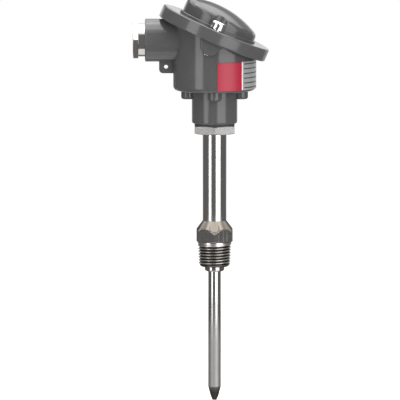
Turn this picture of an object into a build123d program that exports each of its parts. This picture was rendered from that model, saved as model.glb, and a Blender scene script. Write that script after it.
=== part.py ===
"""Industrial resistance temperature sensor: connection head, neck tube, process fitting and thermowell.

Millimetres, +Z up the stem, origin on the stem's axis at the underside of the process hexagon.
The cable entry points to -X, and the lid slopes down towards +X.
"""
import os
from math import cos, pi, radians, sin, tan

from build123d import *

os.makedirs("parts", exist_ok=True)

# Clearances between pieces
seat_gap = 0.05  # radial play of a tube, shank or spigot in the hole that holds it
slide_gap = 0.3  # radial room round a piece that moves past another
root_overlap = 1.0  # how far one form of a piece reaches into the next, or a cut past its face
hex_face_inset = 0.2  # a hexagon's chamfer leaves its end face this far inside the flats

# Measuring insert's rod and the thermowell that it reaches down into
sheath_radius = 3.0
well_radius = 4.0
insertion_length = 100.0  # hexagon's underside to the tip
tip_length = 8.6
tip_waist_height = 2.9  # above the tip's end, where the taper steepens
tip_waist_radius = 2.5
tip_nose_radius = 1.3
tip_nose_edge = 0.9
tip_spigot_length = 3.0
well_bore_radius = sheath_radius + slide_gap
well_spigot_radius = 3.8  # turned down where the tube is let into the fitting

# Process fitting: hexagon turned to a cone, 1/2-14 taper thread, collar
process_hex = 22.7  # across flats
process_hex_height = 8.3
process_cone_height = 5.0
process_hex_chamfer = 0.8
thread_radius = 10.67
thread_length = 15.6
thread_taper = 1 / 32  # radius lost for each millimetre of length
thread_lead_in = 1.7
collar_radius = 6.2
collar_length = 3.0
collar_edge = 0.8
well_socket_depth = 8.0

# Neck tube and the nipple that carries the head
neck_radius = 7.5
neck_wall = 1.6
neck_tube_length = 71.9
nipple_hex = 25.0
nipple_hex_height = 5.2
nipple_hex_chamfer = 0.7
nipple_thread_radius = 12.0
nipple_thread_length = 13.0
nipple_thread_lead_in = 1.0
nipple_lip = 2.0  # the tube's top stops this far below the nipple's top
gasket_thickness = 1.2

# Connection head
hub_radius = 14.25
hub_height = 20.6
hub_edge = 1.3
hub_bore_margin = 2.0
body_radius = 25.8
body_wall = 4.3
body_edge = 3.0
floor_thickness = 3.6
floor_hole_radius = 8.0
flange_thickness = 3.2
flange_gap = 0.4  # between the flange and the inside of the lid's skirt

# Bosses under the floor, which take the insert's screws
insert_screw_inset = 4.5  # from the insert plate's rim, which makes a pitch of 33 mm
insert_hole_floor = 1.5
insert_boss_radius = 4.4
insert_boss_depth = 5.4
insert_boss_edge = 1.4

# Cable boss, its bore, and the tie lug below it
boss_radius = 13.4
boss_reach = 43.4
boss_edge = 0.8
boss_axis_height = 31.4  # above the housing's underside
entry_radius = 10.3
entry_depth = 16.0
entry_throat_radius = 8.0
lug_thickness = 3.0
lug_root = 2.0  # how far the lug runs into the wall and the boss
lug_drop = 7.2
lug_left = 8.8  # the lug's free edge, measured outwards from the housing's wall
lug_corner = 2.5
lug_hole_radius = 1.25
lug_hole_inset = 4.3  # from the free edge
lug_hole_rise = 4.0  # above the lower edge

# Lid: plane, skirt, dome and notches for the screws
lid_tilt = 23.5
lid_offset = 1.3  # centre of the rim's top face, towards +X
lid_height = 39.7  # the same point above the housing's underside
lid_overhang = 10.0  # rim beyond the housing's wall
rim_height = 8.0
rim_edge = 0.9
skirt_wall = 2.5
lid_plate = 3.0
dome_inset = 3.0  # from the screws' axes to the dome's wall
dome_offset = 0.6  # the dome's centre, downhill of the rim's
dome_rise = 13.1
dome_sphere_radius = 60.0
dome_shift = -4.9  # the crown's highest point lies uphill of the lid's centre
dome_edge = 4.0
dome_wall = 2.8
dome_foot_width = 1.1
dome_foot_height = 1.3
dome_foot_edge = 0.5
notch_radius = 5.6
notch_floor = 0.65  # above the rim's top face
seal_thickness = 1.5
seal_margin = 0.4  # the seal's opening beyond the cavity's wall

# Lid screws and the bosses that they screw into
lid_screw_offset = 1.4  # the screws' axes lie this far outside the housing's wall
lid_screw_radius = 2.5
lid_screw_length = 18.4
lid_screw_head_radius = 4.6
lid_screw_head_height = 3.9
lid_screw_head_edge = 1.75
lid_screw_slot = 1.2
lid_screw_slot_depth = 1.6
lid_washer_radius = 5.1
lid_washer_thickness = 0.9
screw_boss_width = 16.4
screw_boss_nose = 6.0
screw_boss_front = 4.3  # front of the boss beyond the screw's axis
screw_boss_edge = 1.2

# Cable gland
gland_hex = 22.7
gland_hex_turn = 5  # degrees
gland_hex_thickness = 3.3
gland_hex_chamfer = 0.6
gland_collar_length = 4.2
gland_bore_radius = 6.5
gland_thread_length = 6.6
gland_washer_thickness = 1.0
gland_seal_bore_radius = 5.6

# Label on the housing
label_thickness = 0.2
label_height = 17.7
label_rise = 1.7  # above the housing's underside
label_start = 3.0  # degrees round from the front
label_end = 118.0

# Insert plate, terminal block, clamps and screws
plate_gap = 0.5  # between the plate's rim and the cavity's wall
plate_thickness = 2.0
plate_lift = 0.9  # the springs hold the plate this far above the floor
block_width = 21.0
block_length = 31.0
block_height = 9.5
block_corner = 4.0
block_step_height = 3.2
block_groove = 1.6
block_hole_radius = 4.0
clamp_width = 5.6
clamp_length = 7.4
clamp_height = 4.6
clamp_pitch_x = 11.4
clamp_pitch_y = 17.0
clamp_edge = 0.4
clamp_bore_radius = 1.1
clamp_bore_height = 2.3
terminal_screw_radius = 1.5
terminal_screw_length = 1.8
terminal_screw_head_radius = 2.5
terminal_screw_head_height = 1.7
terminal_screw_slot = 0.7
terminal_screw_slot_depth = 0.85
lead_radius = 0.4
lead_spread = 1.5
lead_bend = 1.0
insert_screw_radius = 2.0
insert_screw_head_radius = 3.5
insert_screw_head_height = 2.6
insert_screw_slot = 1.0
insert_screw_slot_depth = 1.2
insert_screw_tip_gap = 0.5
sheath_nose_edge = 1.5
spring_length = 9.5
spring_wire = 0.4
spring_radius = 2.9
spring_turns = 4
wire_sides = 6  # flats round the springs' and the leads' wire

# Heights that follow from the sizes above
neck_bottom = process_hex_height + process_cone_height
neck_top = neck_bottom + neck_tube_length
nipple_top = neck_top + nipple_lip
hub_bottom = nipple_top - nipple_thread_length
nipple_shoulder = hub_bottom - gasket_thickness
body_bottom = hub_bottom + hub_height
floor_top = body_bottom + floor_thickness
cavity_radius = body_radius - body_wall
boss_z = body_bottom + boss_axis_height
blank_height = boss_axis_height * 2  # tall enough to be cut off by the lid's plane
plate_radius = cavity_radius - plate_gap
insert_screw_x = plate_radius - insert_screw_inset
lid_radius = body_radius + lid_overhang
flange_radius = lid_radius - skirt_wall - flange_gap
lid_screw_reach = body_radius + lid_screw_offset
dome_radius = lid_screw_reach - dome_inset
dome_foot_radius = dome_radius + dome_foot_width

# The lid's own plane: x runs downhill, z points out of the lid
lid_x = cos(radians(lid_tilt))
lid_z = sin(radians(lid_tilt))
lid_plane = Plane(
    origin=(lid_offset, 0, body_bottom + lid_height),
    x_dir=(lid_x, 0, -lid_z),
    z_dir=(lid_z, 0, lid_x),
)
flange_top = -lid_plate - seal_thickness
flange_bottom = flange_top - flange_thickness
screw_spots = [(0, -lid_screw_reach), (0, lid_screw_reach)]
head_seat = notch_floor + lid_washer_thickness
head_top = head_seat + lid_screw_head_height
lid_screw_tip = head_seat - lid_screw_length


# Thermowell tube, let into the fitting's collar
well_shoulder = -insertion_length + tip_length
collar_end_z = -thread_length - collar_length
well_tube_top = collar_end_z + well_socket_depth
with BuildPart() as well_tube:
    with BuildSketch(Plane.XY.offset(well_shoulder)):
        Circle(well_radius)
    extrude(amount=collar_end_z - well_shoulder)
    with BuildSketch(Plane.XY.offset(collar_end_z)):
        Circle(well_spigot_radius)
    extrude(amount=well_socket_depth)
    with BuildSketch(Plane.XY.offset(well_shoulder)):
        Circle(well_bore_radius)
    extrude(amount=well_tube_top - well_shoulder, mode=Mode.SUBTRACT)
well_tube.part.label = "well_tube"
export_step(well_tube.part, "parts/well_tube.step")

# Tapered tip, whose spigot sits in the tube's lower end
spigot_radius = well_bore_radius - seat_gap
tip_waist_z = -insertion_length + tip_waist_height
with BuildPart() as well_tip:
    with BuildSketch(Plane.XZ):
        with BuildLine():
            Polyline(
                (0, well_shoulder + tip_spigot_length),
                (spigot_radius, well_shoulder + tip_spigot_length),
                (spigot_radius, well_shoulder),
                (well_radius, well_shoulder),
                (tip_waist_radius, tip_waist_z),
            )
            nose = Line((tip_waist_radius, tip_waist_z), (tip_nose_radius, -insertion_length))
            Line(nose @ 1, (0, -insertion_length))
            Line((0, -insertion_length), (0, well_shoulder + tip_spigot_length))
        make_face()
    revolve(axis=Axis.Z)
    nose_edge = well_tip.edges().filter_by(GeomType.CIRCLE).sort_by(Axis.Z)[0]
    fillet(nose_edge, tip_nose_edge)
well_tip.part.label = "well_tip"
export_step(well_tip.part, "parts/well_tip.step")

# Process fitting: a length of hexagon bar, turned to a cone above and to the thread and collar below
hex_corner = process_hex / 2 / cos(pi / 6)
cone_slope = (process_hex / 2 - neck_radius) / process_cone_height
profile_corner = hex_corner + hex_face_inset
cone_foot_z = neck_bottom - (profile_corner - neck_radius) / cone_slope
thread_end_z = -thread_length
thread_end_radius = thread_radius - thread_taper * thread_length
with BuildPart() as process_fitting:
    with BuildSketch(Plane.XY):
        RegularPolygon(process_hex / 2, 6, major_radius=False, rotation=30)
    extrude(amount=neck_bottom)
    with BuildSketch(Plane.XZ):
        with BuildLine():
            Polyline(
                (0, 0),
                (process_hex / 2 - hex_face_inset, 0),
                (profile_corner, process_hex_chamfer),
                (profile_corner, cone_foot_z),
                (neck_radius, neck_bottom),
                (0, neck_bottom),
                close=True,
            )
        make_face()
    revolve(axis=Axis.Z, mode=Mode.INTERSECT)
    with BuildSketch(Plane.XZ):
        with BuildLine():
            Polyline(
                (0, root_overlap),
                (thread_radius, root_overlap),
                (thread_radius, 0),
                (thread_end_radius, thread_end_z + thread_lead_in),
                (thread_end_radius - thread_lead_in, thread_end_z),
                (collar_radius, thread_end_z),
                (collar_radius, collar_end_z + collar_edge),
                (collar_radius - collar_edge, collar_end_z),
                (0, collar_end_z),
                close=True,
            )
        make_face()
    revolve(axis=Axis.Z)
    with BuildSketch(Plane.XY.offset(collar_end_z)):
        Circle(well_spigot_radius + seat_gap)
    extrude(amount=well_socket_depth, mode=Mode.SUBTRACT)
    with BuildSketch(Plane.XY.offset(well_tube_top)):
        Circle(well_bore_radius)
    extrude(amount=neck_bottom - well_tube_top, mode=Mode.SUBTRACT)
process_fitting.part.label = "process_fitting"
export_step(process_fitting.part, "parts/process_fitting.step")

# Neck tube, welded to the cone's top
with BuildPart() as neck_tube:
    with BuildSketch(Plane.XY.offset(neck_bottom)):
        Circle(neck_radius)
        Circle(neck_radius - neck_wall, mode=Mode.SUBTRACT)
    extrude(amount=neck_tube_length)
neck_tube.part.label = "neck_tube"
export_step(neck_tube.part, "parts/neck_tube.step")

# Nipple: a hexagon with a parallel thread above it, brazed round the neck tube
nipple_bottom = nipple_shoulder - nipple_hex_height
nipple_corner = nipple_hex / 2 / cos(pi / 6)
with BuildPart() as neck_nipple:
    with BuildSketch(Plane.XY.offset(nipple_bottom)):
        RegularPolygon(nipple_hex / 2, 6, major_radius=False, rotation=30)
    extrude(amount=nipple_hex_height)
    with BuildSketch(Plane.XZ):
        with BuildLine():
            Polyline(
                (0, nipple_bottom),
                (nipple_hex / 2 - hex_face_inset, nipple_bottom),
                (nipple_corner, nipple_bottom + nipple_hex_chamfer),
                (nipple_corner, nipple_shoulder - nipple_hex_chamfer),
                (nipple_hex / 2 - hex_face_inset, nipple_shoulder),
                (0, nipple_shoulder),
                close=True,
            )
        make_face()
    revolve(axis=Axis.Z, mode=Mode.INTERSECT)
    with BuildSketch(Plane.XY.offset(nipple_shoulder)):
        Circle(nipple_thread_radius)
    extrude(amount=nipple_top - nipple_shoulder)
    chamfer(neck_nipple.edges().filter_by(GeomType.CIRCLE).sort_by(Axis.Z)[-1], nipple_thread_lead_in)
    with BuildSketch(Plane.XY.offset(nipple_bottom)):
        Circle(neck_radius + seat_gap)
    extrude(amount=neck_top - nipple_bottom, mode=Mode.SUBTRACT)
    with BuildSketch(Plane.XY.offset(neck_top)):
        Circle(neck_radius - neck_wall)
    extrude(amount=nipple_lip, mode=Mode.SUBTRACT)
neck_nipple.part.label = "neck_nipple"
export_step(neck_nipple.part, "parts/neck_nipple.step")

# Gasket ring between the nipple's shoulder and the head's hub
with BuildPart() as head_gasket:
    with BuildSketch(Plane.XY.offset(nipple_shoulder)):
        Circle(nipple_hex / 2)
        Circle(nipple_thread_radius + seat_gap, mode=Mode.SUBTRACT)
    extrude(amount=gasket_thickness)
head_gasket.part.label = "head_gasket"
export_step(head_gasket.part, "parts/head_gasket.step")

# Head casting: cylinder cut off by the lid's plane, flange, cable boss, lug, bosses and hub
boss_reach_z = boss_z - boss_radius
lug_bottom = boss_reach_z - lug_drop
lug_edge_x = -body_radius - lug_left
nose_center_w = flange_top - screw_boss_nose - seat_gap
screw_face_y = lid_screw_reach + screw_boss_front
with BuildPart() as head_body:
    with BuildSketch(Plane.XY.offset(body_bottom)):
        Circle(body_radius)
    extrude(amount=blank_height)
    fillet(head_body.edges().filter_by(GeomType.CIRCLE).sort_by(Axis.Z)[0], body_edge)
    with BuildSketch(Plane.YZ.offset(-boss_reach)):
        with Locations((0, boss_z)):
            Circle(boss_radius)
    extrude(amount=boss_reach)
    fillet(head_body.edges().filter_by(GeomType.CIRCLE).sort_by(Axis.X)[0], boss_edge)
    split(bisect_by=lid_plane.offset(flange_top), keep=Keep.BOTTOM)
    with BuildSketch(lid_plane.offset(flange_bottom)):
        Circle(flange_radius)
    extrude(amount=flange_thickness)
    # Tapered bosses below the flange, one for each lid screw
    for side in (-1, 1):
        screw_face = Plane(
            origin=lid_plane.from_local_coords((0, side * screw_face_y, 0)),
            x_dir=lid_plane.x_dir,
            z_dir=(0, side, 0),
        )
        with BuildSketch(screw_face) as boss_outline:
            with Locations((0, -side * nose_center_w)):
                Circle(screw_boss_nose)
            with Locations((0, -side * (flange_bottom + root_overlap))):
                Rectangle(screw_boss_width, 2 * root_overlap)
            make_hull()
        extrude(amount=-(screw_face_y - cavity_radius - root_overlap))
        face_edges = head_body.faces().filter_by(Axis.Y).sort_by(Axis.Y)[0 if side < 0 else -1].edges()
        free_edges = face_edges.filter_by(
            lambda edge: lid_plane.to_local_coords(edge.center()).Z < flange_bottom - seat_gap
        )
        fillet(free_edges, screw_boss_edge)
    # Bosses under the floor, one for each of the four insert-screw places
    with BuildSketch(Plane.XY.offset(body_bottom - insert_boss_depth)):
        with PolarLocations(insert_screw_x, 4):
            Circle(insert_boss_radius)
    extrude(amount=insert_boss_depth + root_overlap)
    fillet(head_body.edges().group_by(Axis.Z)[0], insert_boss_edge)
    # Hub that screws on to the nipple
    with BuildSketch(Plane.XY.offset(hub_bottom)):
        Circle(hub_radius)
    extrude(amount=hub_height + root_overlap)
    fillet(head_body.edges().filter_by(GeomType.CIRCLE).sort_by(Axis.Z)[0], hub_edge)
    # Tie lug between the cable boss and the wall
    with BuildSketch(Plane.XZ.offset(-lug_thickness / 2)):
        with BuildLine():
            Polyline(
                (-body_radius + lug_root, boss_reach_z + lug_root),
                (lug_edge_x, boss_reach_z + lug_root),
                (lug_edge_x, lug_bottom + lug_corner),
            )
            lug_round = [(lug_edge_x, lug_bottom + lug_corner), (lug_edge_x + lug_corner, lug_bottom)]
            RadiusArc(*lug_round, -lug_corner)
            Polyline(
                (lug_edge_x + lug_corner, lug_bottom),
                (-body_radius + lug_root, lug_bottom),
                (-body_radius + lug_root, boss_reach_z + lug_root),
            )
        make_face()
        with Locations((lug_edge_x + lug_hole_inset, lug_bottom + lug_hole_rise)):
            Circle(lug_hole_radius, mode=Mode.SUBTRACT)
    extrude(amount=lug_thickness)
    # Cavity, floor hole, nipple bore and cable entry
    with BuildSketch(Plane.XY.offset(floor_top)):
        Circle(cavity_radius)
    extrude(amount=blank_height, mode=Mode.SUBTRACT)
    with BuildSketch(Plane.XY.offset(hub_bottom)):
        Circle(floor_hole_radius)
    extrude(amount=hub_height + floor_thickness, mode=Mode.SUBTRACT)
    with BuildSketch(Plane.XY.offset(hub_bottom)):
        Circle(nipple_thread_radius + seat_gap)
    extrude(amount=nipple_thread_length + hub_bore_margin, mode=Mode.SUBTRACT)
    with BuildSketch(Plane.YZ.offset(-boss_reach)):
        with Locations((0, boss_z)):
            Circle(entry_radius)
    extrude(amount=entry_depth, mode=Mode.SUBTRACT)
    with BuildSketch(Plane.YZ.offset(-boss_reach)):
        with Locations((0, boss_z)):
            Circle(entry_throat_radius)
    extrude(amount=boss_reach, mode=Mode.SUBTRACT)
    # Screw holes: the lid's, right through their bosses, and the insert's, blind from the floor
    with BuildSketch(lid_plane.offset(flange_top)):
        with Locations(*screw_spots):
            Circle(lid_screw_radius + seat_gap)
    extrude(amount=lid_screw_tip - slide_gap - flange_top, mode=Mode.SUBTRACT)
    with BuildSketch(Plane.XY.offset(floor_top)):
        with PolarLocations(insert_screw_x, 4):
            Circle(insert_screw_radius + seat_gap)
    extrude(amount=-(floor_thickness + insert_boss_depth - insert_hole_floor), mode=Mode.SUBTRACT)
head_body.part.label = "head_body"
export_step(head_body.part, "parts/head_body.step")

# Solid dome of the lid, and the smaller one that hollows it
dome_blanks = []
for shrink in (0, dome_wall):
    with BuildPart() as dome_blank:
        with BuildSketch(lid_plane.offset(-lid_plate)):
            with Locations((dome_offset, 0)):
                Circle(dome_radius - shrink)
            if shrink:
                with Locations(*screw_spots):
                    Circle(notch_radius + shrink, mode=Mode.SUBTRACT)
        extrude(amount=lid_plate + dome_rise + root_overlap)
        crown_center = lid_plane.from_local_coords((dome_shift, 0, dome_rise - dome_sphere_radius))
        with Locations(crown_center):
            Sphere(dome_sphere_radius - shrink, mode=Mode.INTERSECT)
        if not shrink:
            fillet(dome_blank.faces().filter_by(GeomType.SPHERE).edges(), dome_edge)
    dome_blanks.append(dome_blank.part)

# Lid: rim with a skirt, and the hollow dome with a notch for each screw
with BuildPart() as lid:
    with BuildSketch(lid_plane.offset(-rim_height)):
        Circle(lid_radius)
    extrude(amount=rim_height)
    fillet(lid.edges().filter_by(GeomType.CIRCLE), rim_edge)
    with BuildSketch(lid_plane):
        with Locations((dome_offset, 0)):
            Circle(dome_foot_radius)
    extrude(amount=dome_foot_height)
    foot_rim = lid.edges().filter_by(GeomType.CIRCLE).filter_by(
        lambda edge: lid_plane.to_local_coords(edge.center()).Z > dome_foot_height - seat_gap
    )
    fillet(foot_rim, dome_foot_edge)
    add(dome_blanks[0])
    with BuildSketch(lid_plane.offset(notch_floor)):
        with Locations(*screw_spots):
            Circle(notch_radius)
    extrude(amount=dome_rise, mode=Mode.SUBTRACT)
    add(dome_blanks[1], mode=Mode.SUBTRACT)
    with BuildSketch(lid_plane.offset(-rim_height)):
        Circle(lid_radius - skirt_wall)
    extrude(amount=rim_height - lid_plate, mode=Mode.SUBTRACT)
    with BuildSketch(lid_plane.offset(-rim_height)):
        with Locations(*screw_spots):
            Circle(lid_screw_radius + seat_gap)
    extrude(amount=rim_height + dome_foot_height, mode=Mode.SUBTRACT)
lid.part.label = "lid"
export_step(lid.part, "parts/lid.step")

# Flat gasket under the lid, with the cavity's oval opening and the two screw holes
with BuildPart() as lid_seal:
    with BuildSketch(lid_plane.offset(flange_top)):
        Circle(flange_radius)
        cavity_shift = -lid_offset / lid_x - flange_top * tan(radians(lid_tilt))
        with Locations((cavity_shift, 0)):
            Ellipse(cavity_radius / lid_x + seal_margin, cavity_radius + seal_margin, mode=Mode.SUBTRACT)
        with Locations(*screw_spots):
            Circle(lid_screw_radius + seat_gap, mode=Mode.SUBTRACT)
    extrude(amount=seal_thickness)
lid_seal.part.label = "lid_seal"
export_step(lid_seal.part, "parts/lid_seal.step")

# Lid screws, each with a slotted head and a captive washer
screw_names = ["front", "back"]
for spot, place in zip(screw_spots, screw_names):
    with BuildPart() as lid_washer:
        with BuildSketch(lid_plane.offset(notch_floor)):
            with Locations(spot):
                Circle(lid_washer_radius)
                Circle(lid_screw_radius + seat_gap, mode=Mode.SUBTRACT)
        extrude(amount=lid_washer_thickness)
    lid_washer.part.label = f"lid_washer_{place}"
    export_step(lid_washer.part, f"parts/lid_washer_{place}.step")

    with BuildPart() as lid_screw:
        with BuildSketch(lid_plane.offset(head_seat)):
            with Locations(spot):
                Circle(lid_screw_head_radius)
        extrude(amount=lid_screw_head_height)
        top_rim = lid_screw.edges().filter_by(GeomType.CIRCLE).sort_by(
            lambda edge: lid_plane.to_local_coords(edge.center()).Z
        )[-1]
        fillet(top_rim, lid_screw_head_edge)
        with BuildSketch(lid_plane.offset(head_seat)):
            with Locations(spot):
                Circle(lid_screw_radius)
        extrude(amount=-lid_screw_length)
        with BuildSketch(lid_plane.offset(head_top)):
            with Locations(spot):
                Rectangle(2 * (lid_screw_head_radius + root_overlap), lid_screw_slot)
        extrude(amount=-lid_screw_slot_depth, mode=Mode.SUBTRACT)
    lid_screw.part.label = f"lid_screw_{place}"
    export_step(lid_screw.part, f"parts/lid_screw_{place}.step")

# Gland: hexagon compression screw, thrust washer and rubber ring, all round the cable's axis
gland_axis = Plane(origin=(-boss_reach, 0, boss_z), x_dir=(0, 1, 0), z_dir=(-1, 0, 0))
gland_hex_corner = gland_hex / 2 / cos(pi / 6)
gland_outer = gland_collar_length + gland_hex_thickness
with BuildPart() as gland_screw:
    with BuildSketch(gland_axis.offset(gland_collar_length)):
        RegularPolygon(gland_hex / 2, 6, major_radius=False, rotation=gland_hex_turn)
    extrude(amount=gland_hex_thickness)
    with BuildSketch(Plane.XZ):
        with BuildLine():
            Polyline(
                (-boss_reach - gland_outer, boss_z),
                (-boss_reach - gland_outer, boss_z + gland_hex / 2 - hex_face_inset),
                (-boss_reach - gland_outer + gland_hex_chamfer, boss_z + gland_hex_corner),
                (-boss_reach - gland_collar_length, boss_z + gland_hex_corner),
                (-boss_reach - gland_collar_length, boss_z),
                close=True,
            )
        make_face()
    revolve(axis=Axis((0, 0, boss_z), (1, 0, 0)), mode=Mode.INTERSECT)
    with BuildSketch(gland_axis.offset(-gland_thread_length)):
        Circle(entry_radius - seat_gap)
    extrude(amount=gland_thread_length + gland_collar_length)
    with BuildSketch(gland_axis.offset(-gland_thread_length)):
        Circle(gland_bore_radius)
    extrude(amount=gland_thread_length + gland_outer, mode=Mode.SUBTRACT)
gland_screw.part.label = "gland_screw"
export_step(gland_screw.part, "parts/gland_screw.step")

with BuildPart() as gland_washer:
    with BuildSketch(gland_axis.offset(-gland_thread_length)):
        Circle(entry_radius - slide_gap)
        Circle(gland_bore_radius, mode=Mode.SUBTRACT)
    extrude(amount=-gland_washer_thickness)
gland_washer.part.label = "gland_washer"
export_step(gland_washer.part, "parts/gland_washer.step")

seal_face = gland_thread_length + gland_washer_thickness
with BuildPart() as gland_seal:
    with BuildSketch(gland_axis.offset(-seal_face)):
        Circle(entry_radius - seat_gap)
        Circle(gland_seal_bore_radius, mode=Mode.SUBTRACT)
    extrude(amount=-(entry_depth - seal_face))
gland_seal.part.label = "gland_seal"
export_step(gland_seal.part, "parts/gland_seal.step")

# Label wrapped round the front and right-hand side of the housing
with BuildPart() as label:
    with BuildSketch(Plane.XY.offset(body_bottom + label_rise)):
        with BuildLine():
            label_span = label_end - label_start
            inner_arc = CenterArc((0, 0), body_radius, label_start - 90, label_span)
            outer_arc = CenterArc((0, 0), body_radius + label_thickness, label_start - 90, label_span)
            Line(inner_arc @ 0, outer_arc @ 0)
            Line(inner_arc @ 1, outer_arc @ 1)
        make_face()
    extrude(amount=label_height)
label.part.label = "label"
export_step(label.part, "parts/label.step")

# Insert plate with the rod's hole and the two screw holes
plate_bottom = floor_top + plate_lift
plate_top = plate_bottom + plate_thickness
with BuildPart() as insert_plate:
    with BuildSketch(Plane.XY.offset(plate_bottom)):
        Circle(plate_radius)
        Circle(sheath_radius + seat_gap, mode=Mode.SUBTRACT)
        with PolarLocations(insert_screw_x, 2):
            Circle(insert_screw_radius + slide_gap, mode=Mode.SUBTRACT)
    extrude(amount=plate_thickness)
insert_plate.part.label = "insert_plate"
export_step(insert_plate.part, "parts/insert_plate.step")

# Mineral-insulated rod with the sensing element in its lower end
sheath_bottom = well_shoulder + tip_spigot_length + slide_gap
sheath_top = plate_top + block_height - block_step_height - slide_gap
with BuildPart() as insert_sheath:
    with BuildSketch(Plane.XY.offset(sheath_bottom)):
        Circle(sheath_radius)
    extrude(amount=sheath_top - sheath_bottom)
    fillet(insert_sheath.edges().filter_by(GeomType.CIRCLE).sort_by(Axis.Z)[0], sheath_nose_edge)
insert_sheath.part.label = "insert_sheath"
export_step(insert_sheath.part, "parts/insert_sheath.step")

# Ceramic terminal block with a lower step for the clamps and a wall between them
block_top = plate_top + block_height
clamp_seat = plate_top + block_height - block_step_height
with BuildPart() as terminal_block:
    with BuildSketch(Plane.XY.offset(plate_top)):
        RectangleRounded(block_width, block_length, block_corner)
        Circle(block_hole_radius, mode=Mode.SUBTRACT)
    extrude(amount=block_height)
    with BuildSketch(Plane.XY.offset(clamp_seat)):
        with GridLocations(clamp_pitch_x, clamp_pitch_y, 2, 2):
            Rectangle(clamp_width + 2 * slide_gap, clamp_length + 2 * slide_gap)
        Rectangle(clamp_pitch_x + clamp_width, clamp_pitch_y - clamp_length)
    extrude(amount=block_step_height, mode=Mode.SUBTRACT)
    with BuildSketch(Plane.XY.offset(block_top - block_groove)):
        Rectangle(block_width + 2 * root_overlap, block_groove * 2)
    extrude(amount=block_groove, mode=Mode.SUBTRACT)
terminal_block.part.label = "terminal_block"
export_step(terminal_block.part, "parts/terminal_block.step")

# Brass clamps, each bored for its screw from above and for its wires from both ends
clamp_top = clamp_seat + clamp_height
wire_z = clamp_seat + clamp_bore_height
with BuildPart() as terminal_clamps:
    with BuildSketch(Plane.XY.offset(clamp_seat)):
        with GridLocations(clamp_pitch_x, clamp_pitch_y, 2, 2):
            Rectangle(clamp_width, clamp_length)
    extrude(amount=clamp_height)
    chamfer(terminal_clamps.faces().sort_by(Axis.Z)[-4:].edges(), clamp_edge)
    with BuildSketch(Plane.XY.offset(clamp_top)):
        with GridLocations(clamp_pitch_x, clamp_pitch_y, 2, 2):
            Circle(terminal_screw_radius + seat_gap)
    extrude(amount=-(terminal_screw_length + slide_gap), mode=Mode.SUBTRACT)
    with BuildSketch(Plane.XZ.offset(-block_length)):
        with Locations((-clamp_pitch_x / 2, wire_z), (clamp_pitch_x / 2, wire_z)):
            Circle(clamp_bore_radius)
    extrude(amount=block_length * 2, mode=Mode.SUBTRACT)
terminal_clamps.part.label = "terminal_clamps"
export_step(terminal_clamps.part, "parts/terminal_clamps.step")

with BuildPart() as terminal_screws:
    with BuildSketch(Plane.XY.offset(clamp_top)):
        with GridLocations(clamp_pitch_x, clamp_pitch_y, 2, 2):
            Circle(terminal_screw_head_radius)
    extrude(amount=terminal_screw_head_height)
    with BuildSketch(Plane.XY.offset(clamp_top)):
        with GridLocations(clamp_pitch_x, clamp_pitch_y, 2, 2):
            Circle(terminal_screw_radius)
    extrude(amount=-terminal_screw_length)
    with BuildSketch(Plane.XY.offset(clamp_top + terminal_screw_head_height)):
        with GridLocations(clamp_pitch_x, clamp_pitch_y, 2, 2):
            Rectangle(2 * (terminal_screw_head_radius + root_overlap), terminal_screw_slot)
    extrude(amount=-terminal_screw_slot_depth, mode=Mode.SUBTRACT)
terminal_screws.part.label = "terminal_screws"
export_step(terminal_screws.part, "parts/terminal_screws.step")

# Four wires: up from the rod's top, sideways, and into the bore of each clamp
lead_end_y = clamp_pitch_y / 2 - clamp_length / 2 + clamp_bore_radius
with BuildPart() as lead_wires:
    for side_x in (-1, 1):
        for side_y in (-1, 1):
            foot = (side_x * lead_spread, side_y * lead_spread, sheath_top)
            with BuildLine() as lead_path:
                FilletPolyline(
                    foot,
                    (side_x * lead_spread, side_y * lead_spread, wire_z),
                    (side_x * clamp_pitch_x / 2, side_y * lead_spread, wire_z),
                    (side_x * clamp_pitch_x / 2, side_y * lead_end_y, wire_z),
                    radius=lead_bend,
                )
            with BuildSketch(Plane(origin=foot, z_dir=(0, 0, 1))):
                RegularPolygon(lead_radius, wire_sides)
            sweep(path=lead_path.line)
lead_wires.part.label = "lead_wires"
export_step(lead_wires.part, "parts/lead_wires.step")

# Long screws through the plate into the floor, and the springs under their heads
spring_top = plate_top + spring_length
screw_foot = body_bottom - insert_boss_depth + insert_hole_floor + insert_screw_tip_gap
with BuildPart() as insert_screws:
    with BuildSketch(Plane.XY.offset(screw_foot)):
        with PolarLocations(insert_screw_x, 2):
            Circle(insert_screw_radius)
    extrude(amount=spring_top - screw_foot)
    with BuildSketch(Plane.XY.offset(spring_top)):
        with PolarLocations(insert_screw_x, 2):
            Circle(insert_screw_head_radius)
    extrude(amount=insert_screw_head_height)
    with BuildSketch(Plane.XY.offset(spring_top + insert_screw_head_height)):
        with PolarLocations(insert_screw_x, 2):
            Rectangle(insert_screw_slot, 2 * (insert_screw_head_radius + root_overlap))
    extrude(amount=-insert_screw_slot_depth, mode=Mode.SUBTRACT)
insert_screws.part.label = "insert_screws"
export_step(insert_screws.part, "parts/insert_screws.step")

coil_height = spring_length - 2 * spring_wire
with BuildPart() as insert_springs:
    for side_x in (-1, 1):
        coil_center = (side_x * insert_screw_x, 0, plate_top + spring_wire)
        with BuildLine() as coil:
            Helix(coil_height / spring_turns, coil_height, spring_radius, center=coil_center)
        with BuildSketch(Plane(origin=coil.line @ 0, x_dir=(1, 0, 0), z_dir=coil.line % 0)):
            RegularPolygon(spring_wire, wire_sides)
        sweep(path=coil.line, is_frenet=True)
insert_springs.part.label = "insert_springs"
export_step(insert_springs.part, "parts/insert_springs.step")
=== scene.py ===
"""Looks of an industrial temperature sensor: head, neck tube, process fitting and thermowell, in metres."""

from math import atan2, cos, pi, radians, sin, tan

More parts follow.
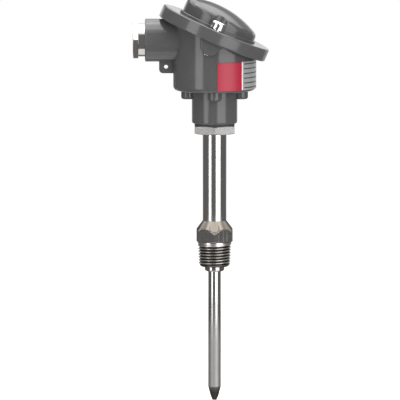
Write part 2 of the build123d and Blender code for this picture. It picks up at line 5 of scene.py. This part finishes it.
import bmesh
import bpy
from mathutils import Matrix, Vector


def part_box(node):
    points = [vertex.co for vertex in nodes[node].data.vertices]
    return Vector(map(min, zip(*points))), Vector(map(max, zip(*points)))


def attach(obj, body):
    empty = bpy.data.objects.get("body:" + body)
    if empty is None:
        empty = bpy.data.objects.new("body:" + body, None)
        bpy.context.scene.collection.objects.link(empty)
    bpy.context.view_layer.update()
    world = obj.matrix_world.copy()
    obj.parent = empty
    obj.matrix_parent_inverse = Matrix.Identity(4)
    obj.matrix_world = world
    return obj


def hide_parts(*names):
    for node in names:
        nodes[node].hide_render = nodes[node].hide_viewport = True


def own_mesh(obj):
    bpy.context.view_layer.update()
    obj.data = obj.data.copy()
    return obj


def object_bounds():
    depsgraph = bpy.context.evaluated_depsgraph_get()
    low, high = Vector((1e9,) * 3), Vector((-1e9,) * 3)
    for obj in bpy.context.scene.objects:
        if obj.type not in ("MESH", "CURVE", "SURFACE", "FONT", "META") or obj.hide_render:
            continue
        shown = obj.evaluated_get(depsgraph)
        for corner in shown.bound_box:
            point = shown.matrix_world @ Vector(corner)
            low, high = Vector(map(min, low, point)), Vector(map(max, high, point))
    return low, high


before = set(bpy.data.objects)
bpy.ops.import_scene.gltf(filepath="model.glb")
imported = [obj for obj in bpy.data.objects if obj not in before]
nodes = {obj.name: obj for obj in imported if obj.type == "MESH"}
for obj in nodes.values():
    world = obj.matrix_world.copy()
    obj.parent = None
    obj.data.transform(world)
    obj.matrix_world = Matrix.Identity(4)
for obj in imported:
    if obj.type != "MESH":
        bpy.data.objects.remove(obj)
cad_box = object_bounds()
mm = 0.001


# Thermowell: a slim tube of stainless steel, turned and then polished down to about a third of its
# length and left satin below that. Its end is drawn to a taper, welded shut and browned by the weld.
class Wire:
    """The output of a node, on which arithmetic is written as plain expressions."""

    def __init__(self, tree, socket=None):
        self.tree = tree
        self.socket = socket

    def node(self, kind, settings, inputs, output=0):
        """Adds a node, sets its settings, then gives its sockets their values or links."""
        made = self.tree.nodes.new(kind)
        for name, value in settings.items():
            setattr(made, name, value)
        for name, value in inputs.items():
            if isinstance(value, Wire):
                self.tree.links.new(value.socket, made.inputs[name])
            else:
                made.inputs[name].default_value = value
        return Wire(self.tree, made.outputs[output] if made.outputs else None)

    def maths(self, operation, left, right):
        """One Math node on two values or wires."""
        return self.node("ShaderNodeMath", {"operation": operation}, {0: left, 1: right})

    def __add__(self, other):
        return self.maths("ADD", self, other)

    def __sub__(self, other):
        return self.maths("SUBTRACT", self, other)

    def __rsub__(self, other):
        return self.maths("SUBTRACT", other, self)

    def __mul__(self, other):
        return self.maths("MULTIPLY", self, other)

    def __lt__(self, other):
        return self.maths("LESS_THAN", self, other)

    def __gt__(self, other):
        return self.maths("GREATER_THAN", self, other)

    __radd__ = __add__
    __rmul__ = __mul__

    def ramp(self, start, end, low=0.0, high=1.0):
        """This value from start to end, mapped to low to high and held there."""
        return self.node("ShaderNodeMapRange", {}, {0: self, 1: start, 2: end, 3: low, 4: high})

    def blend(self, low, high):
        """A colour that goes from low to high as this value goes from 0 to 1."""
        return self.node("ShaderNodeMix", {"data_type": "RGBA"}, {0: self, 6: low, 7: high}, output=2)


class Finish:
    """A surface finish: a Principled shader whose patterns read the point on the object."""

    def __init__(self, name, **constants):
        self.material = bpy.data.materials.new(name)
        self.material.use_nodes = True
        self.tree = self.material.node_tree
        self.shader = self.tree.nodes["Principled BSDF"]
        self.place = Wire(self.tree).node("ShaderNodeTexCoord", {}, {}, output="Object")
        for socket, value in constants.items():
            self.shader.inputs[socket.replace("_", " ")].default_value = value

    def axis(self, letter):
        """One coordinate of the point on the object, in metres."""
        return self.place.node("ShaderNodeSeparateXYZ", {}, {"Vector": self.place}, output=letter)

    def noise(self, size, detail=2.0, stretch=(1, 1, 1), roughness=0.5):
        """Noise with spots of about that size in metres, drawn out where stretch is small."""
        scaled = self.place.node("ShaderNodeMapping", {}, {"Vector": self.place, "Scale": stretch})
        sockets = {"Vector": scaled, "Scale": 1 / size, "Detail": detail, "Roughness": roughness}
        return self.place.node("ShaderNodeTexNoise", {}, sockets)

    def feed(self, **wires):
        """Links a wire to each of the shader's sockets that is named."""
        for socket, wire in wires.items():
            self.tree.links.new(wire.socket, self.shader.inputs[socket.replace("_", " ")])

    def relief(self, height, depth):
        """Bumps as deep as depth, in metres, where the height goes from 0 to 1."""
        bump = height.node("ShaderNodeBump", {}, {"Strength": 1.0, "Distance": depth, "Height": height})
        self.feed(Normal=bump)


def tint(grey, warm=0.0):
    """A near-grey colour, a little warmer or cooler."""
    return (grey * (1 + warm), grey, grey * (1 - warm), 1.0)


def dress(name, finish):
    """Gives a CAD node its finish."""
    piece = nodes[name]
    piece.data.materials.clear()
    piece.data.materials.append(finish.material)


well_finish = Finish("well_steel", Metallic=1.0)
polish_end = -32 * mm
dull_start = -44 * mm
satin = well_finish.axis("Z").ramp(polish_end, polish_end - 8 * mm)
dull = well_finish.axis("Z").ramp(dull_start, dull_start - 18 * mm)
well_cloud = well_finish.noise(5 * mm, detail=3)
well_finish.feed(
    Roughness=0.11 + satin * 0.13 + dull * 0.29 + well_cloud * 0.06,
    Base_Color=(well_cloud * 0.4 + satin * 0.6).blend(tint(0.60, 0.015), tint(0.40, 0.02)),
)
well_finish.relief(well_finish.noise(0.12 * mm, stretch=(0.02, 0.02, 1)), 0.004 * mm)
dress("well_tube", well_finish)

tip_finish = Finish("browned_tip", Metallic=1.0)
tip_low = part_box("well_tip")[0].z
tip_cloud = tip_finish.noise(1.6 * mm, detail=4, roughness=0.65)
browned = tip_finish.axis("Z").ramp(tip_low + 9.5 * mm, tip_low + 5 * mm)
tip_finish.feed(
    Base_Color=(browned * 0.8 + tip_cloud * 0.3).blend(tint(0.45, 0.03), tint(0.11, 0.06)),
    Roughness=0.28 + tip_cloud * 0.25,
)
tip_finish.relief(tip_cloud, 0.03 * mm)
dress("well_tip", tip_finish)


# Process fitting: one length of stainless hexagon bar, turned to a cone above for the neck tube's weld and
# below to a 1/2-14 taper thread and a collar. Its thread is cut here, as a die cuts it, because it is fine.
class Recipe:
    """A tree of Geometry Nodes with named inputs, and the meshes that it makes."""

    def __init__(self, name, **inputs):
        self.tree = bpy.data.node_groups.new(name, "GeometryNodeTree")
        sockets = self.tree.interface
        sockets.new_socket("Geometry", in_out="INPUT", socket_type="NodeSocketGeometry")
        sockets.new_socket("Geometry", in_out="OUTPUT", socket_type="NodeSocketGeometry")
        for label, kind in inputs.items():
            sockets.new_socket(label, in_out="INPUT", socket_type=f"NodeSocket{kind}")
        sockets.new_socket("Material", in_out="INPUT", socket_type="NodeSocketMaterial")
        self.entry = self.tree.nodes.new("NodeGroupInput")
        self.base = Wire(self.tree)

    def given(self, label):
        """The wire of one named input."""
        return Wire(self.tree, self.entry.outputs[label])

    def close(self, geometry):
        """Ends the tree: instances are made real and the material is set."""
        real = self.base.node("GeometryNodeRealizeInstances", {}, {0: geometry})
        shaded = {"Geometry": real, "Material": self.given("Material")}
        done = self.base.node("GeometryNodeSetMaterial", {}, shaded)
        outlet = self.tree.nodes.new("NodeGroupOutput")
        self.tree.links.new(done.socket, outlet.inputs[0])

    def make(self, name, mesh, finish, **values):
        """Runs the tree on a mesh and puts the result in the scene as a plain object."""
        holder = bpy.data.objects.new(name + "_blank", mesh)
        bpy.context.scene.collection.objects.link(holder)
        modifier = holder.modifiers.new("recipe", "NODES")
        modifier.node_group = self.tree
        values["Material"] = finish.material
        for item in self.tree.interface.items_tree:
            if item.in_out == "INPUT" and item.name in values:
                modifier[item.identifier] = values[item.name]
        depsgraph = bpy.context.evaluated_depsgraph_get()
        result = bpy.data.meshes.new_from_object(holder.evaluated_get(depsgraph))
        bpy.data.objects.remove(holder)
        return shown(name, result)


def shown(name, mesh, crease=12):
    """Puts a mesh in the scene, smooth except where faces meet at more than crease degrees."""
    mesh.name = name
    mesh.shade_smooth()
    mesh.set_sharp_from_angle(angle=radians(crease))
    piece = bpy.data.objects.new(name, mesh)
    bpy.context.scene.collection.objects.link(piece)
    return piece


def joined_copy(name, edge=0.0):
    """A copy of a CAD node's mesh with its triangles joined and its sharp edges slightly broken."""
    copy = bpy.data.meshes.new(name + "_copy")
    work = bmesh.new()
    work.from_mesh(nodes[name].data)
    bmesh.ops.remove_doubles(work, verts=work.verts, dist=0.002 * mm)
    if edge:
        flat_angle = radians(1)
        sharp_angle = radians(32)
        bmesh.ops.dissolve_limit(work, angle_limit=flat_angle, verts=work.verts, edges=work.edges)
        sharp = [e for e in work.edges if e.is_manifold and e.calc_face_angle() > sharp_angle]
        bmesh.ops.bevel(
            work,
            geom=sharp,
            offset=edge,
            offset_type="OFFSET",
            segments=1,
            affect="EDGES",
            clamp_overlap=True,
        )
        bmesh.ops.triangulate(work, faces=work.faces)
    work.to_mesh(copy)
    work.free()
    return copy


thread_cutter = Recipe(
    "thread_cutter",
    Top_radius="Float", End_radius="Float", Pitch="Float", Turns="Float", Depth="Float", Run_out="Float",
    Place="Vector", Turn="Vector",
)
cut = thread_cutter.base
pitch = thread_cutter.given("Pitch")
depth = thread_cutter.given("Depth")
turns = thread_cutter.given("Turns")
margin = pitch * 0.08
root_width = pitch * 0.08
flank_angle = radians(30)

# The tool is a right-handed spiral of trapezoid section that points at the axis. It stands out of the metal
# by a margin, and at its far end it leaves the metal gradually.
helix = cut.node(
    "GeometryNodeCurveSpiral",
    {},
    {
        "Resolution": 64,
        "Rotations": turns,
        "Start Radius": thread_cutter.given("End_radius") + margin * 0.5 - depth * 0.5,
        "End Radius": thread_cutter.given("Top_radius") + margin * 0.5 - depth * 0.5,
        "Height": pitch * turns,
        "Reverse": True,
    },
)
along = cut.node("GeometryNodeSplineParameter", {}, {})
fade = along.ramp(1 - thread_cutter.given("Run_out"), 1.0) * (depth + margin * 2)
spot = cut.node("GeometryNodeInputPosition", {}, {})
flat = cut.node("ShaderNodeVectorMath", {"operation": "MULTIPLY"}, {0: spot, 1: (1, 1, 0)})
outward = cut.node("ShaderNodeVectorMath", {"operation": "NORMALIZE"}, {0: flat})
push = cut.node("ShaderNodeVectorMath", {"operation": "SCALE"}, {0: outward, "Scale": fade})
faded = cut.node("GeometryNodeSetPosition", {}, {"Geometry": helix, "Offset": push})
upright = cut.node("GeometryNodeSetCurveNormal", {"mode": "Z_UP"}, {0: faded})
tooth = cut.node(
    "GeometryNodeCurvePrimitiveQuadrilateral",
    {"mode": "TRAPEZOID"},
    {
        "Height": depth + margin,
        "Bottom Width": root_width,
        "Top Width": root_width + (depth + margin) * (2 * tan(flank_angle)),
        "Offset": 0.0,
    },
)
pointed_in = cut.node("GeometryNodeTransform", {}, {"Geometry": tooth, "Rotation": (0, 0, -pi / 2)})
swept = cut.node(
    "GeometryNodeCurveToMesh", {}, {"Curve": upright, "Profile Curve": pointed_in, "Fill Caps": True}
)
turned = cut.node(
    "GeometryNodeTransform",
    {},
    {"Geometry": swept, "Translation": thread_cutter.given("Place"), "Rotation": thread_cutter.given("Turn")},
)
threaded = cut.node(
    "GeometryNodeMeshBoolean",
    {"operation": "DIFFERENCE", "solver": "EXACT"},
    {0: thread_cutter.given("Geometry"), 1: turned},
)
thread_cutter.close(threaded)


def round_off(piece, centre, axis, reach):
    """Gives the faces round an axis the normals of a true cylinder, as far along it as reach says."""
    mesh = piece.data
    same_radius = 0.3 * mm
    nearly_radial = cos(radians(7))

    def arm_to(point):
        arm = point - centre
        return arm - axis * arm.dot(axis)

    normals = [Vector(corner.vector) for corner in mesh.corner_normals]
    for face in mesh.polygons:
        if not reach[0] < (face.center - centre).dot(axis) < reach[1]:
            continue
        middle = arm_to(face.center)
        facing = face.normal.dot(middle.normalized())
        arms = {c: arm_to(mesh.vertices[mesh.loops[c].vertex_index].co) for c in face.loop_indices}
        level = all(abs(arm.length - middle.length) < same_radius for arm in arms.values())
        if level and abs(facing) > nearly_radial:
            for corner, arm in arms.items():
                normals[corner] = arm.normalized() * (1 if facing > 0 else -1)
    mesh.normals_split_custom_set(normals)


fitting_finish = Finish("turned_steel", Metallic=1.0)
fitting_cloud = fitting_finish.noise(4 * mm, detail=4, roughness=0.6)
fitting_lines = fitting_finish.noise(0.25 * mm, stretch=(0.03, 0.03, 1))
place = fitting_finish.place
across = place.node("ShaderNodeVectorMath", {"operation": "MULTIPLY"}, {0: place, 1: (1, 1, 0)})
radius = across.node("ShaderNodeVectorMath", {"operation": "LENGTH"}, {0: across}, output="Value")
up = fitting_finish.axis("Z")

# The cone has a straw tint from the weld's heat, the thread has painted shade in its grooves and a painted
# highlight on its crests, and the hexagon's flats keep faint lengthwise waves from the drawing of the bar.
neck_low, neck_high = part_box("neck_tube")
cone_top = neck_low.z
cone_slope = 0.77
thread_radius = 10.67 * mm
thread_length = 15.6 * mm
taper = 1 / 32
inside_cone = neck_high.x + cone_slope * (cone_top - up) - radius
heat = inside_cone.ramp(0.5 * mm, 0.2 * mm)
# Painted shade and highlight: the thread's grooves darken towards their roots, and its crests are painted
# paler than the bare steel.
painted_groove_shade = (thread_radius + up * taper - radius).ramp(0.1 * mm, 1.0 * mm)
thread_zone = up.ramp(-0.2 * mm, -0.6 * mm) * up.ramp(-thread_length - 0.3 * mm, -thread_length)
bare = fitting_cloud.blend(tint(0.56, 0.02), tint(0.44, 0.03))
below_cone = thread_zone.blend(bare, painted_groove_shade.blend(tint(0.70, 0.03), (0.10, 0.085, 0.07, 1)))
fitting_finish.feed(
    Base_Color=heat.blend(below_cone, (0.16, 0.14, 0.12, 1)),
    Roughness=0.06 + fitting_cloud * 0.06 + heat * 0.12 + thread_zone * 0.25,
)
on_flats = up.ramp(0.2 * mm, 0.6 * mm) * (1 - heat)
drawn = fitting_finish.noise(2.2 * mm, detail=1, stretch=(1, 1, 0.04)) * on_flats
fitting_finish.relief(drawn + fitting_lines * 0.04, 0.05 * mm)

inch = 25.4 * mm
pipe_pitch = inch / 14
pipe_turns = thread_length / pipe_pitch + 0.6
thread_start = -0.4 * mm
fitting_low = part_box("process_fitting")[0]
fitting = thread_cutter.make(
    "process_fitting_cut",
    joined_copy("process_fitting", edge=0.18 * mm),
    fitting_finish,
    Top_radius=thread_radius,
    End_radius=thread_radius - taper * pipe_turns * pipe_pitch,
    Pitch=pipe_pitch,
    Turns=pipe_turns,
    Depth=0.72 * pipe_pitch,
    Run_out=1.2 / pipe_turns,
    Place=(0, 0, thread_start - pipe_turns * pipe_pitch),
    Turn=(0, 0, 0),
)
round_off(fitting, Vector((0, 0, 0)), Vector((0, 0, 1)), reach=(fitting_low.z - mm, 0.2 * mm))
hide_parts("process_fitting")
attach(fitting, "housing")


# Neck tube: plain stainless tube with a bright polish, welded to the fitting and brazed in the nipple. The
# weld's heat leaves its lower end a little duller.
neck_finish = Finish("neck_steel", Metallic=1.0)
neck_cloud = neck_finish.noise(9 * mm, detail=3)
weld_bloom = neck_finish.axis("Z").ramp(cone_top + 7 * mm, cone_top + 0.5 * mm)
neck_finish.feed(
    Base_Color=(neck_cloud * 0.4 + weld_bloom * 0.5).blend(tint(0.62, 0.01), tint(0.50, 0.02)),
    Roughness=0.11 + neck_cloud * 0.05 + weld_bloom * 0.12,
)
neck_finish.relief(neck_finish.noise(0.2 * mm, stretch=(0.02, 0.02, 1)), 0.003 * mm)
dress("neck_tube", neck_finish)


# Nipple and gasket: a hexagon nipple with a dull zinc coat that screws into the head, where a thin ring of
# dark fibre seals it. The zinc is rough and mottled, and paler than the steel beside it.
zinc_finish = Finish("dull_zinc", Metallic=1.0)
zinc_grain = zinc_finish.noise(0.7 * mm, detail=5, roughness=0.7)
zinc_cloud = zinc_finish.noise(4 * mm, detail=2)
zinc_finish.feed(
    Base_Color=(zinc_grain * 1.6 - 0.5 + zinc_cloud * 0.4).blend(tint(0.70, 0.015), tint(0.30, 0.03)),
    Roughness=0.42 + zinc_grain * 0.2,
)
zinc_finish.relief(zinc_grain, 0.05 * mm)
nipple = shown("neck_nipple_coated", joined_copy("neck_nipple", edge=0.25 * mm))
nipple.data.materials.append(zinc_finish.material)
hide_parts("neck_nipple")
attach(nipple, "housing")

gasket_finish = Finish("dark_fibre", Roughness=0.75)
fibre = gasket_finish.noise(0.5 * mm, detail=4)
gasket_finish.feed(Base_Color=fibre.blend(tint(0.03), tint(0.07, 0.1)))
gasket_finish.relief(fibre, 0.04 * mm)
dress("head_gasket", gasket_finish)


# Connection head: an aluminium casting with a glossy grey coat, which shows the mould's grain as a faint
# orange peel. The tie lug under the cable boss is left as cast, so its coat is duller and grainier.
paint = Finish("grey_coat", Specular_IOR_Level=0.5)
peel = paint.noise(1.1 * mm, detail=3, roughness=0.6)
paint_cloud = paint.noise(9 * mm, detail=2)
lug_x = -24 * mm
lug_z = 112 * mm
as_cast = paint.axis("X").ramp(lug_x + 0.5 * mm, lug_x) * paint.axis("Z").ramp(lug_z + 0.6 * mm, lug_z)
cast_grain = paint.noise(0.8 * mm, detail=4, roughness=0.65)
coat_shade = peel * 0.3 + paint_cloud * 0.5 + as_cast * (cast_grain * 3 - 1)
paint.feed(
    Base_Color=coat_shade.blend(tint(0.097), tint(0.077)),
    Roughness=0.1 + paint_cloud * 0.1 + as_cast * 0.3,
)
paint.relief(peel + as_cast * cast_grain * 4, 0.012 * mm)
dress("head_body", paint)
dress("lid", paint)


# Cable gland: a hexagon compression screw of nickel-plated brass that squeezes a rubber ring on the cable,
# with a thrust washer between them.
nickel = Finish("nickel_plate", Metallic=1.0)
nickel_cloud = nickel.noise(3 * mm, detail=3)
nickel.feed(
    Base_Color=nickel_cloud.blend(tint(0.74, 0.02), tint(0.60, 0.045)),
    Roughness=0.08 + nickel_cloud * 0.07,
)
nickel.relief(nickel.noise(0.3 * mm, stretch=(1, 0.04, 0.04)), 0.004 * mm)
gland_low, gland_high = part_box("gland_screw")
gland_axis_z = (gland_low.z + gland_high.z) / 2
gland_radius = 10.25 * mm
gland_shank = 10.9 * mm
gland_pitch = 1.5 * mm
gland_turns = 5.2
gland = thread_cutter.make(
    "gland_screw_cut",
    joined_copy("gland_screw", edge=0.2 * mm),
    nickel,
    Top_radius=gland_radius,
    End_radius=gland_radius,
    Pitch=gland_pitch,
    Turns=gland_turns,
    Depth=0.6 * gland_pitch,
    Run_out=0.7 / gland_turns,
    Place=(gland_high.x + 0.5 * gland_pitch, 0, gland_axis_z),
    Turn=(0, -pi / 2, 0),
)
round_off(gland, Vector((gland_high.x, 0, gland_axis_z)), Vector((1, 0, 0)), reach=(-gland_shank, 0))
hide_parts("gland_screw")
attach(gland, "gland_nut")
dress("gland_washer", nickel)

rubber = Finish("black_rubber", Roughness=0.6)
rubber_grain = rubber.noise(0.6 * mm, detail=3)
rubber.feed(Base_Color=rubber_grain.blend(tint(0.02), tint(0.035)))
rubber.relief(rubber_grain, 0.02 * mm)
dress("gland_seal", rubber)
dress("lid_seal", rubber)


# Label: one printed film round the housing, red on the side that faces the front and silver beyond it. The
# red field has a deeper edge, a pale line parts the two fields, and blank rules cross the silver one.
film = Finish("label_film", Roughness=0.35)
angle = film.place.maths("ARCTAN2", film.axis("X"), 0.0 - film.axis("Y"))
label_start = min(atan2(corner.co.x, -corner.co.y) for corner in nodes["label"].data.vertices)
label_low, label_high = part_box("label")
edge_angle = radians(0.9)
edge_width = 0.4 * mm
red_end = radians(40.5)
line_end = radians(42.5)
rule_start = line_end + radians(2)
rules = 6
rule_pitch = (label_high.z - label_low.z) / rules
half_rule = 0.35 * mm
edge_shade = (angle < label_start + edge_angle) + (film.axis("Z") > label_high.z - edge_width)
red_field = edge_shade.ramp(0, 1).blend((0.42, 0.012, 0.04, 1), (0.25, 0.008, 0.02, 1))
wave = film.place.maths("PINGPONG", film.axis("Z") - label_low.z, rule_pitch / 2)
ruled = (wave > rule_pitch / 2 - half_rule) * (angle > rule_start)
silver_field = ruled.blend(tint(0.60), tint(0.10))
left_fields = (angle < red_end).blend(tint(0.85), red_field)
in_silver = angle > line_end
film.feed(Base_Color=in_silver.blend(left_fields, silver_field), Metallic=in_silver * 0.6)
dress("label", film)


# Measuring insert: a steel plate with a rod that holds the sensing element, a ceramic block with four brass
# clamps, four wires, and two long screws whose springs press the rod to the bottom of the well.
plain_steel = Finish("plain_steel", Metallic=1.0, Roughness=0.32)
steel_grain = plain_steel.noise(0.8 * mm, detail=3, stretch=(1, 0.1, 1))
plain_steel.feed(Base_Color=steel_grain.blend(tint(0.60), tint(0.46, 0.02)))
plain_steel.relief(steel_grain, 0.01 * mm)
for name in ("insert_plate", "insert_sheath"):
    dress(name, plain_steel)

springs = shown("insert_spring_pair", joined_copy("insert_springs"), crease=30)
springs.data.materials.append(plain_steel.material)
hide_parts("insert_springs")
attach(springs, "housing")
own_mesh(springs)

ceramic = Finish("white_ceramic", Roughness=0.55)
ceramic_grain = ceramic.noise(0.4 * mm, detail=3)
ceramic.feed(Base_Color=ceramic_grain.blend(tint(0.82, 0.03), tint(0.72, 0.05)))
ceramic.relief(ceramic_grain, 0.02 * mm)
dress("terminal_block", ceramic)

brass = Finish("clamp_brass", Metallic=1.0, Roughness=0.25)
brass_cloud = brass.noise(1.5 * mm, detail=3)
brass.feed(Base_Color=brass_cloud.blend((0.78, 0.60, 0.30, 1), (0.62, 0.45, 0.20, 1)))
dress("terminal_clamps", brass)
for name in ("terminal_screws", "insert_screws"):
    dress(name, zinc_finish)

copper = Finish("wire_copper", Metallic=1.0, Roughness=0.3)
copper_cloud = copper.noise(1 * mm, detail=2)
copper.feed(Base_Color=copper_cloud.blend((0.80, 0.48, 0.34, 1), (0.66, 0.36, 0.24, 1)))
dress("lead_wires", copper)


# Lid screws: slotted fillister screws of bright plated steel, each with its washer, in the dome's notches.
# The threads of their lower ends are cut with the tool that cuts the fitting's.
bright = Finish("bright_plate", Metallic=1.0)
bright_cloud = bright.noise(1.5 * mm, detail=2)
bright.feed(
    Base_Color=bright_cloud.blend(tint(0.85), tint(0.74, 0.01)),
    Roughness=0.06 + bright_cloud * 0.06,
)
lid_tilt = radians(23.5)
lid_axis = Vector((sin(lid_tilt), 0, cos(lid_tilt)))
screw_radius = 2.5 * mm
screw_shank = 17 * mm
screw_pitch = 0.8 * mm
screw_turns = 14.5
for side in ("front", "back"):
    low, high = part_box(f"lid_screw_{side}")
    tip_x = low.x + screw_radius * cos(lid_tilt)
    tip_z = low.z + screw_radius * sin(lid_tilt)
    tip = Vector((tip_x, (low.y + high.y) / 2, tip_z))
    screw = thread_cutter.make(
        f"lid_screw_{side}_cut",
        joined_copy(f"lid_screw_{side}"),
        bright,
        Top_radius=screw_radius,
        End_radius=screw_radius,
        Pitch=screw_pitch,
        Turns=screw_turns,
        Depth=0.6 * screw_pitch,
        Run_out=0.8 / screw_turns,
        Place=tip - lid_axis * (0.5 * screw_pitch),
        Turn=(0, lid_tilt, 0),
    )
    round_off(screw, tip, lid_axis, reach=(0, screw_shank))
    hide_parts(f"lid_screw_{side}")
    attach(screw, f"{side}_screw")
    dress(f"lid_washer_{side}", bright)


# Studio: a white floor and surroundings, two tall soft boxes in front and one overhead. Metal and gloss also
# mirror a bright backdrop, a ceiling and a table top, which light nothing else.
floor_z = cad_box[0].z
bpy.ops.mesh.primitive_circle_add(vertices=64, radius=2.5, fill_type="NGON", location=(0, 0, floor_z))
floor = bpy.context.object
floor.name = "floor"
floor_material = bpy.data.materials.new("white_floor")
floor_material.use_nodes = True
floor_tree = floor_material.node_tree
floor_tree.nodes.clear()
studio = Wire(floor_tree)
plain = studio.node("ShaderNodeBsdfDiffuse", {}, {"Color": tint(0.7)})
lift = studio.node("ShaderNodeEmission", {}, {"Color": tint(1.0), "Strength": 0.85})
lifted = studio.node("ShaderNodeAddShader", {}, {0: plain, 1: lift})
from_camera = studio.node("ShaderNodeLightPath", {}, {}, output="Is Camera Ray")
pale = studio.node("ShaderNodeMixShader", {}, {0: from_camera, 1: plain, 2: lifted})
studio.node("ShaderNodeOutputMaterial", {}, {"Surface": pale})
floor.visible_glossy = False
floor.visible_shadow = False
floor.data.materials.append(floor_material)


def soft_box(name, angle, rise, distance, width, height, strength):
    """A lamp aimed at the neck tube from angle degrees to the camera's right and rise degrees up."""
    lamp = bpy.data.lights.new(name, "AREA")
    lamp.shape = "RECTANGLE"
    lamp.size = width
    lamp.size_y = height
    lamp.energy = strength * pi * width * height
    box = bpy.data.objects.new(name, lamp)
    bpy.context.scene.collection.objects.link(box)
    turn = radians(angle)
    lift_angle = radians(rise)
    reach = Vector((sin(turn) * cos(lift_angle), -cos(turn) * cos(lift_angle), sin(lift_angle)))
    target = Vector((0, 0, 0.06))
    box.location = target + reach * distance
    box.rotation_euler = (target - box.location).to_track_quat("-Z", "Y").to_euler()
    box.visible_camera = False


soft_box("right_box", angle=35, rise=12, distance=1.3, width=1.08, height=1.7, strength=2.7)
soft_box("left_box", angle=-44, rise=12, distance=1.3, width=0.53, height=1.7, strength=2.7)
soft_box("top_box", angle=0, rise=89, distance=1.2, width=1.8, height=1.1, strength=2.8)

world = bpy.data.worlds.new("studio")
bpy.context.scene.world = world
world.use_nodes = True
world.node_tree.nodes.clear()
around = Wire(world.node_tree)

# Height is the sine of the angle above the horizon, and depthward the cosine of the angle from the back.
direction = around.node("ShaderNodeTexCoord", {}, {}, output="Generated")
depthward = around.node("ShaderNodeSeparateXYZ", {}, {"Vector": direction}, output="Y")
height = around.node("ShaderNodeSeparateXYZ", {}, {"Vector": direction}, output="Z")
horizon = 0.45 + height.ramp(-0.02, 0.03) * 0.5 - height.ramp(0.09, 0.16) * 0.8
backdrop = depthward.ramp(cos(radians(42)), cos(radians(30))) * horizon
ceiling = depthward.ramp(0.05, 0.25) * height.ramp(0.40, 0.52) * 2.0 + height.ramp(0.70, 0.76) * 1.1
table = height.ramp(-0.85, -0.89) * 0.8
seen = around.node("ShaderNodeLightPath", {}, {}, output="Is Camera Ray")
mirrored = around.node("ShaderNodeLightPath", {}, {}, output="Is Glossy Ray")
dim = 0.16
level = dim + seen * (1 - dim) + mirrored * (backdrop + table + ceiling)
glow = around.node("ShaderNodeBackground", {}, {"Color": tint(1.0), "Strength": level})
around.node("ShaderNodeOutputWorld", {}, {"Surface": glow})

camera_data = bpy.data.cameras.new("camera")
camera = bpy.data.objects.new("camera", camera_data)
bpy.context.scene.collection.objects.link(camera)
bpy.context.scene.camera = camera
camera_distance = 3.8
camera_rise = radians(5.9)
sensor_width = 36
frame_width = 0.2501
view_centre = Vector((-0.0091, 0, 0.0260))
camera.location = view_centre + camera_distance * Vector((0, -cos(camera_rise), sin(camera_rise)))
camera.rotation_euler = (view_centre - camera.location).to_track_quat("-Z", "Y").to_euler()
camera_data.sensor_width = sensor_width
camera_data.lens = sensor_width * camera_distance / frame_width
camera_data.clip_end = 100

bpy.context.scene.view_settings.view_transform = "Standard"
